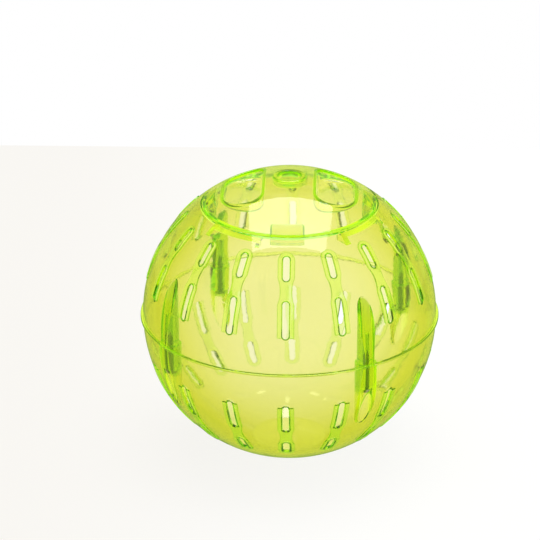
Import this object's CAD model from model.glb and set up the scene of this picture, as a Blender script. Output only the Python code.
from math import cos, pi, radians, sin, sqrt

import bpy
from mathutils import Matrix, Vector


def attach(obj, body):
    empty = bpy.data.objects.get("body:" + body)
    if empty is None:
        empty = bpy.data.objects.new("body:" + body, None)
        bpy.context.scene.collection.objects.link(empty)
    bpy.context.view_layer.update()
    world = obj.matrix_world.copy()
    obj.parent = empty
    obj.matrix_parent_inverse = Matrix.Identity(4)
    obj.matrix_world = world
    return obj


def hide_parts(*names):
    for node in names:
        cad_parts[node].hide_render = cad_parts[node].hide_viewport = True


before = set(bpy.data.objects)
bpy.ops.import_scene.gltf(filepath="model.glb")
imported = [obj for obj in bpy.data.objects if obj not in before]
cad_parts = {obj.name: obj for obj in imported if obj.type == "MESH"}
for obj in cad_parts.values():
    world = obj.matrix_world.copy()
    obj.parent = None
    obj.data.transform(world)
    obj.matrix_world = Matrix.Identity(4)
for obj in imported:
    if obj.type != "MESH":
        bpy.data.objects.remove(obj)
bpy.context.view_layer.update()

# Half shells: the ball itself, two bowls of clear lime polystyrene from one pair of moulds. The lower
# one stands on a flat foot, the upper one has the doorway, and a beaded seam joins them at the equator.
ball_radius = 0.060
wall = 0.0012
inner_radius = ball_radius - wall
foot_radius = 0.0156
door_radius = 0.0353
ball_centre = Vector((0, 0, sqrt(ball_radius**2 - foot_radius**2)))

# Where the colour changes, from start to end of a change: heights from the ball's middle, and a radius.
seam_band = (0.0007, 0.0012)
lower_frames = (-0.020, 0.0)
boss_bottom = (-0.0135, -0.0125)
post_top = (0.030, 0.036)
ledge_level = (0.036, 0.040)
ring_level = (0.0455, 0.0460)
lug_inner_radius = (0.0288, 0.0292)

black = (0.0, 0.0, 0.0, 1.0)
face_on_tint = (1.0, 0.97, 0.95, 1.0)
slanted_tint = (0.80, 0.80, 0.14, 1.0)
frame_tint = (0.70, 0.98, 0.22, 1.0)
lower_frame_tint = (0.40, 0.78, 0.03, 1.0)
post_tint = (0.40, 0.60, 0.01, 1.0)
lug_tint = (0.76, 0.72, 0.05, 1.0)
edge_tint = (0.27, 0.64, 0.003, 1.0)
ring_tint = (0.36, 0.88, 0.03, 1.0)
depth_tint = (0.955, 0.99, 0.22, 1.0)
edge_glow = (0.12, 0.32, 0.008, 1.0)
post_glow = (0.03, 0.07, 0.001, 1.0)
ledge_glow = (0.03, 0.04, 0.05, 1.0)


class Value:
    """A socket of a material's nodes. Sums and products of values add the Math nodes that work them out."""

    def __init__(self, tree, socket):
        self.tree = tree
        self.socket = socket

    def node(self, kind, settings=None, out=0, **inputs):
        """Adds a node of a kind, sets its settings, then fills its sockets with numbers or other values."""
        made = self.tree.nodes.new(kind)
        for name, setting in (settings or {}).items():
            setattr(made, name, setting)
        for name, given in inputs.items():
            key = int(name[1:]) if name[0] == "i" and name[1:].isdigit() else name.replace("_", " ")
            if isinstance(given, Value):
                self.tree.links.new(given.socket, made.inputs[key])
            else:
                made.inputs[key].default_value = given
        return Value(self.tree, made.outputs[out])

    def maths(self, operation, first, second=0.0):
        return self.node("ShaderNodeMath", {"operation": operation}, i0=first, i1=second)

    def __add__(self, other):
        return self.maths("ADD", self, other)

    __radd__ = __add__

    def __mul__(self, other):
        return self.maths("MULTIPLY", self, other)

    __rmul__ = __mul__

    def __sub__(self, other):
        return self.maths("SUBTRACT", self, other)

    def __rsub__(self, other):
        return self.maths("SUBTRACT", other, self)

    def between(self, low, high):
        """0 below low, 1 above high, and a smooth step from one to the other."""
        smooth = {"interpolation_type": "SMOOTHSTEP"}
        return self.node("ShaderNodeMapRange", smooth, Value=self, From_Min=low, From_Max=high)


def new_material(name):
    """An empty material, with its object coordinates as the value that its pattern starts from."""
    material = bpy.data.materials.new(name)
    material.use_nodes = True
    tree = material.node_tree
    tree.nodes.clear()
    place = tree.nodes.new("ShaderNodeTexCoord").outputs["Object"]
    return material, Value(tree, place)


def mixed(share, first, second):
    """A colour on the way from a first one to a second one."""
    return share.node("ShaderNodeMix", {"data_type": "RGBA"}, out=2, i0=share, i6=first, i7=second)


def finish_material(surface, volume=None):
    """Joins a surface, and a volume if there is one, to the material's output."""
    output = surface.tree.nodes.new("ShaderNodeOutputMaterial")
    surface.tree.links.new(surface.socket, output.inputs["Surface"])
    if volume:
        surface.tree.links.new(volume.socket, output.inputs["Volume"])


def lime_plastic(name, raised, ring_radius, slant_depth, edge_light, cut_light, lug_depth, ledge_light):
    """Clear lime polystyrene: tinted by depth, polished, rippled by the mould, scuffed where it rolls."""
    material, place = new_material(name)
    from_centre = place.node("ShaderNodeVectorMath", {"operation": "SUBTRACT"}, i0=place, i1=ball_centre)
    outward = place.node("ShaderNodeVectorMath", {"operation": "NORMALIZE"}, i0=from_centre)
    reach = place.node("ShaderNodeVectorMath", {"operation": "LENGTH"}, out="Value", i0=from_centre)
    flat = place.node("ShaderNodeVectorMath", {"operation": "MULTIPLY"}, i0=from_centre, i1=(1.0, 1.0, 0.0))
    off_axis = place.node("ShaderNodeVectorMath", {"operation": "LENGTH"}, out="Value", i0=flat)
    height = place.node("ShaderNodeSeparateXYZ", out="Z", Vector=from_centre)
    flow = place.node("ShaderNodeTexNoise", Vector=place, Scale=38.0, Detail=2.0, Roughness=0.45)
    grain = place.node("ShaderNodeTexNoise", Vector=place, Scale=420.0, Detail=3.0, Roughness=0.55)
    scratches = place.node("ShaderNodeTexNoise", Vector=place, Scale=1900.0, Detail=4.0, Roughness=0.7)

    # What stands proud of the ball and gets rubbed, what stands clear of the wall inside, and the ring.
    proud = reach.between(ball_radius + raised, ball_radius + raised + 0.0001)
    rubbed = proud * scratches.between(0.35, 0.65)
    inside = 1 - reach.between(inner_radius - 0.0005, inner_radius - 0.0002)
    post = inside * height.between(*boss_bottom) * (1 - height.between(*post_top))
    lug = inside * off_axis.between(*lug_inner_radius)
    ledge = inside * height.between(*ledge_level)
    within_ring = 1 - off_axis.between(ring_radius + 0.0001, ring_radius + 0.0003)
    at_ring = off_axis.between(ring_radius - 0.0003, ring_radius - 0.0001) * within_ring
    at_ring = at_ring * height.between(*ring_level)

    # Lines are weaker on the far side of a wall and at the seam's bead.
    near_side = 1 - 0.6 * place.node("ShaderNodeNewGeometry", out="Backfacing")
    drawn = near_side * (0.25 + 0.75 * place.maths("ABSOLUTE", height).between(*seam_band))
    wall_normal = place.node("ShaderNodeNewGeometry", out="Normal")
    rounded = place.node("ShaderNodeBevel", {"samples": 6}, Radius=0.00075)
    turned = place.node(
        "ShaderNodeVectorMath", {"operation": "DOT_PRODUCT"}, out="Value", i0=rounded, i1=wall_normal
    )
    edge = (1 - turned).between(0.005, 0.2) * drawn
    at_skin = reach.between(ball_radius - 0.0002, ball_radius - 0.00005) * (1 - proud)
    rise = (1 - turned).between(0.001, 0.03) * drawn * at_skin

    # At a slant the wall is deeper in colour. Frames and edges are greener, bosses and posts a solid green.
    facing = place.node("ShaderNodeLayerWeight", out="Facing", Blend=0.5)
    slant = slant_depth * facing.between(0.0, 0.65) + 0.06 * flow.between(0.3, 0.7)
    tint = mixed(slant, face_on_tint, slanted_tint)
    tint = mixed(0.7 * proud * drawn, tint, frame_tint)
    tint = mixed(0.7 * proud * drawn * (1 - height.between(*lower_frames)), tint, lower_frame_tint)
    tint = mixed(0.9 * post, tint, post_tint)
    tint = mixed(lug_depth * lug, tint, lug_tint)
    tint = mixed(place.maths("MAXIMUM", 0.35 * edge, rise), tint, edge_tint)
    tint = mixed(0.9 * at_ring, tint, ring_tint)

    # Light carried along the wall comes out again at edges, slot walls and ledges.
    along = place.node(
        "ShaderNodeVectorMath", {"operation": "DOT_PRODUCT"}, out="Value", i0=outward, i1=wall_normal
    )
    cut = (1 - place.maths("ABSOLUTE", along)).between(0.3, 0.8)
    shine = 0.5 * at_ring
    for other in (edge_light * edge, 0.5 * edge_light * rise, 0.15 * proud * near_side, cut_light * cut):
        shine = place.maths("MAXIMUM", shine, other)
    glow = mixed(shine, black, edge_glow)
    glow = mixed(0.9 * post, glow, post_glow)
    glow = mixed(ledge_light * ledge, glow, ledge_glow)

    surface = place.node(
        "ShaderNodeBsdfPrincipled",
        Base_Color=tint,
        Roughness=0.03 + 0.03 * grain.between(0.45, 0.7) + 0.12 * rubbed,
        IOR=1.55,
        Transmission_Weight=1.0,
        Emission_Color=glow,
        Emission_Strength=1.0,
        Normal=place.node("ShaderNodeBump", Strength=0.12, Distance=0.0006, Height=flow + 0.15 * grain),
    )
    finish_material(surface, place.node("ShaderNodeVolumeAbsorption", Color=depth_tint, Density=500.0))
    return material


shell_plastic = lime_plastic(
    "lime_shell",
    raised=0.0002,
    ring_radius=door_radius,
    slant_depth=1.0,
    edge_light=0.15,
    cut_light=0.22,
    lug_depth=0.0,
    ledge_light=1.0,
)
for half in ("lower_shell", "upper_shell"):
    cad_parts[half].material_slots[0].material = shell_plastic

# Lid: a moulded cap of the same plastic that drops into the doorway. Its four lugs turn under the shell's
# ledges, and two finger pockets leave a bar between them to turn it by.
lid_clearance = 0.0003
lid_plastic = lime_plastic(
    "lime_lid",
    raised=0.0001,
    ring_radius=door_radius - lid_clearance,
    slant_depth=0.5,
    edge_light=0.8,
    cut_light=0.1,
    lug_depth=0.8,
    ledge_light=0.6,
)
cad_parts["lid"].material_slots[0].material = lid_plastic

# Screws: four dull steel self-tappers with pan heads and a cross recess, driven up through the lower
# shell's bosses into the posts of the upper one. One is modelled on the Z axis with its seat at 0.
screw_circle_radius = 0.0558
screw_seat = ball_centre.z - 0.01105
screw_turns = {"front_right": 33.75, "back_right": 123.75, "back_left": 213.75, "front_left": 303.75}
front = -90
crest_radius = 0.0011
root_radius = 0.00082
thread_pitch = 0.00081
thread_turns = 18
thread_steps = 28
tip_radius = 0.0001
tip_length = 0.0018
head_radius = 0.00215
head_height = 0.0017
head_dome = 0.0007
head_edge = 0.0001
recess_length = 0.0026
recess_width = 0.0007
recess_depth = 0.0008
recess_taper = 0.8
dull_grey = (0.50, 0.50, 0.49, 1.0)
worn_grey = (0.62, 0.62, 0.60, 1.0)


def edit(piece, chosen):
    """Opens a piece in edit mode with only the vertices selected that a test chooses."""
    bpy.ops.object.select_all(action="DESELECT")
    piece.select_set(True)
    bpy.context.view_layer.objects.active = piece
    bpy.ops.object.mode_set(mode="EDIT")
    bpy.ops.mesh.select_mode(type="VERT")
    bpy.ops.mesh.select_all(action="DESELECT")
    bpy.ops.object.mode_set(mode="OBJECT")
    for vertex in piece.data.vertices:
        vertex.select = chosen(vertex.co)
    bpy.ops.object.mode_set(mode="EDIT")


def apply_modifiers(piece):
    """Makes a piece's modifiers part of its mesh."""
    bpy.context.view_layer.objects.active = piece
    for modifier in list(piece.modifiers):
        bpy.ops.object.modifier_apply(modifier=modifier.name)


# The thread: three corners of a plane become root, crest and root of one turn, which is then wound up.
bpy.ops.mesh.primitive_plane_add(size=sqrt(2), enter_editmode=False)
shank = bpy.context.object
edit(shank, lambda corner: corner.x < 0 and corner.y > 0)
bpy.ops.mesh.delete(type="VERT")
bpy.ops.mesh.select_all(action="SELECT")
bpy.ops.transform.rotate(value=radians(-45), orient_axis="Z", center_override=(0, 0, 0))
bpy.ops.transform.rotate(value=radians(-90), orient_axis="X", center_override=(0, 0, 0))
bpy.ops.transform.resize(
    value=(crest_radius - root_radius, 1.0, thread_pitch / 2), center_override=(0, 0, 0)
)
bpy.ops.transform.translate(value=(root_radius, 0, 0))
bpy.ops.object.mode_set(mode="OBJECT")
winding = shank.modifiers.new("winding", "SCREW")
winding.axis = "Z"
winding.screw_offset = thread_pitch
winding.iterations = thread_turns
winding.steps = winding.render_steps = thread_steps
winding.use_merge_vertices = True
winding.merge_threshold = 1e-6
apply_modifiers(shank)

# The point: a cone from the thread's root to the tip, a little domed.
thread_end = thread_turns * thread_pitch
bpy.ops.mesh.primitive_cone_add(
    vertices=thread_steps,
    radius1=root_radius,
    radius2=tip_radius,
    depth=tip_length,
    location=(0, 0, thread_end + tip_length / 2),
)
tip = bpy.context.object
bpy.ops.object.transform_apply(location=True, rotation=False, scale=False)
edit(tip, lambda corner: corner.z > thread_end + 0.9 * tip_length)
bpy.ops.mesh.bevel(offset=tip_radius / 2, segments=2, affect="EDGES")
bpy.ops.object.mode_set(mode="OBJECT")

# The head: a disc with its driven side domed and a cross sunk into it.
bpy.ops.mesh.primitive_cylinder_add(
    vertices=48, radius=head_radius, depth=head_height, location=(0, 0, -head_height / 2)
)
head = bpy.context.object
bpy.ops.object.transform_apply(location=True, rotation=False, scale=False)
edit(head, lambda corner: corner.z < -0.9 * head_height)
bpy.ops.mesh.bevel(offset=head_dome, segments=6, affect="EDGES")
bpy.ops.object.mode_set(mode="OBJECT")
edit(head, lambda corner: corner.z > -head_edge)
bpy.ops.mesh.bevel(offset=head_edge, segments=2, affect="EDGES")
bpy.ops.object.mode_set(mode="OBJECT")
for length, width in ((recess_length, recess_width), (recess_width, recess_length)):
    bpy.ops.mesh.primitive_cube_add(size=1.0, location=(0, 0, -head_height))
    blade = bpy.context.object
    blade.data.transform(Matrix.Diagonal((length, width, 2 * recess_depth, 1.0)))
    edit(blade, lambda corner: corner.z > 0)
    bpy.ops.transform.resize(value=(recess_taper, recess_taper, 1.0))
    bpy.ops.object.mode_set(mode="OBJECT")
    sunk = head.modifiers.new("sunk", "BOOLEAN")
    sunk.operation = "DIFFERENCE"
    sunk.object = blade
    apply_modifiers(head)
    bpy.data.objects.remove(blade)

# The whole screw: thread, point and head in one mesh, copied to the four bosses.
bpy.ops.object.select_all(action="DESELECT")
for piece in (shank, tip, head):
    piece.select_set(True)
bpy.context.view_layer.objects.active = shank
bpy.ops.object.join()
edit(shank, lambda corner: True)
bpy.ops.mesh.normals_make_consistent(inside=False)
bpy.ops.object.mode_set(mode="OBJECT")
bpy.ops.object.shade_smooth_by_angle(angle=radians(35))

screw_steel, place = new_material("dull_steel")
speckle = place.node("ShaderNodeTexNoise", Vector=place, Scale=2600.0, Detail=3.0, Roughness=0.6)
finish_material(
    place.node(
        "ShaderNodeBsdfPrincipled",
        Base_Color=mixed(speckle.between(0.4, 0.7), dull_grey, worn_grey),
        Metallic=1.0,
        Roughness=0.32 + 0.2 * speckle,
    )
)
shank.data.materials.append(screw_steel)
for corner, turn in screw_turns.items():
    screw = bpy.data.objects.new("threaded_screw_" + corner, shank.data.copy())
    bpy.context.scene.collection.objects.link(screw)
    to_boss = Matrix.Translation((screw_circle_radius, 0, screw_seat))
    screw.data.transform(Matrix.Rotation(radians(front + turn), 4, "Z") @ to_boss)
    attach(screw, "ball")
    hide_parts("screw_" + corner)
bpy.data.objects.remove(shank)

# Studio: a pale table that ends behind the ball, a white room, one softbox overhead and the camera. What
# the ball mirrors off its outside is a dim lime, because its rim has no white shine in the photo.
table_width = 5.0
table_depth = 3.0
table_back = 0.331
table_paper = (0.86, 0.855, 0.85, 1.0)
table_left = (0.92, 0.90, 0.86, 1.0)
table_right = (1.0, 1.0, 0.98, 1.0)
table_lit_share = 0.92
room_white = (1.0, 1.0, 1.0, 1.0)
mirrored_table = (0.20, 0.38, 0.04, 1.0)
mirrored_room = (0.42, 0.62, 0.12, 1.0)
mirrored_share = 0.92


def mirrored(place):
    """The dimmed share of light: what is mirrored off the ball's outside, not seen straight or through it."""
    refracted = place.node("ShaderNodeLightPath", out="Transmission Depth").between(0.0, 1.0)
    return mirrored_share * (place.node("ShaderNodeLightPath", out="Is Glossy Ray") * (1 - refracted))


bpy.ops.object.select_all(action="DESELECT")
bpy.ops.mesh.primitive_plane_add(size=1.0, location=(0, 0, 0))
table = bpy.context.object
table.name = "table"
table.data.transform(Matrix.Diagonal((table_width, table_depth, 1.0, 1.0)))
table.data.transform(Matrix.Translation((0, table_back - table_depth / 2, 0)))
table_white, place = new_material("table_white")
across = place.node("ShaderNodeSeparateXYZ", out="X", Vector=place)
white = mixed(across.between(-0.14, 0.08), table_left, table_right)
paper = place.node("ShaderNodeBsdfDiffuse", Color=table_paper)
shining = place.node("ShaderNodeEmission", Color=white, Strength=1.0)
lit = place.node("ShaderNodeMixShader", i0=table_lit_share, i1=paper, i2=shining)
dim = place.node("ShaderNodeEmission", Color=mirrored_table, Strength=1.0)
finish_material(place.node("ShaderNodeMixShader", i0=mirrored(place), i1=lit, i2=dim))
table.data.materials.append(table_white)

softbox_size = (0.8, 0.79)
softbox_radiance = 3.7
softbox = bpy.data.objects.new("softbox", bpy.data.lights.new("softbox", "AREA"))
softbox.data.shape = "RECTANGLE"
softbox.data.size, softbox.data.size_y = softbox_size
softbox.data.energy = pi * softbox_radiance * softbox_size[0] * softbox_size[1]
softbox.location = (0, 0.145, 0.92)
softbox.visible_transmission = False
bpy.context.scene.collection.objects.link(softbox)

room = bpy.data.worlds.new("room")
bpy.context.scene.world = room
room.use_nodes = True
room.node_tree.nodes.clear()
seen = Value(room.node_tree, room.node_tree.nodes.new("ShaderNodeTexCoord").outputs["Generated"])
towards = seen.node("ShaderNodeSeparateXYZ", out="Y", Vector=seen)
fill = 0.72 + 0.28 * towards.between(-0.4, 0.5)
straight = seen.node("ShaderNodeLightPath", out="Is Camera Ray")
lit = seen.node("ShaderNodeBackground", Strength=straight + (1 - straight) * fill, Color=room_white)
dim = seen.node("ShaderNodeBackground", Strength=1.0, Color=mirrored_room)
light = seen.node("ShaderNodeMixShader", i0=mirrored(seen), i1=lit, i2=dim)
room_output = room.node_tree.nodes.new("ShaderNodeOutputWorld")
room.node_tree.links.new(light.socket, room_output.inputs["Surface"])

camera_distance = 1.14
camera_elevation = radians(24.76)
camera_turn = radians(1.55)
focal_pixels = 2781
image_width = 540
ball_pixel = (289.5, 311.3)
camera = bpy.data.objects.new("camera", bpy.data.cameras.new("camera"))
bpy.context.scene.collection.objects.link(camera)
bpy.context.scene.camera = camera
camera.data.sensor_width = 36.0
camera.data.lens = camera.data.sensor_width * focal_pixels / image_width
camera.data.clip_end = 20.0
back = Vector(
    (
        sin(camera_turn) * cos(camera_elevation),
        -cos(camera_turn) * cos(camera_elevation),
        sin(camera_elevation),
    )
)
camera.location = ball_centre + camera_distance * back
facing = (-back).to_track_quat("-Z", "Y").to_matrix()
to_ball = Vector((ball_pixel[0] - image_width / 2, image_width / 2 - ball_pixel[1], -focal_pixels))
aim = to_ball.rotation_difference(Vector((0, 0, -1))).to_matrix()
camera.matrix_world = Matrix.Translation(camera.location) @ (facing @ aim).to_4x4()

bpy.context.scene.cycles.max_bounces = 32
bpy.context.scene.cycles.transmission_bounces = 32
bpy.context.scene.cycles.glossy_bounces = 12
bpy.context.scene.view_settings.view_transform = "Standard"
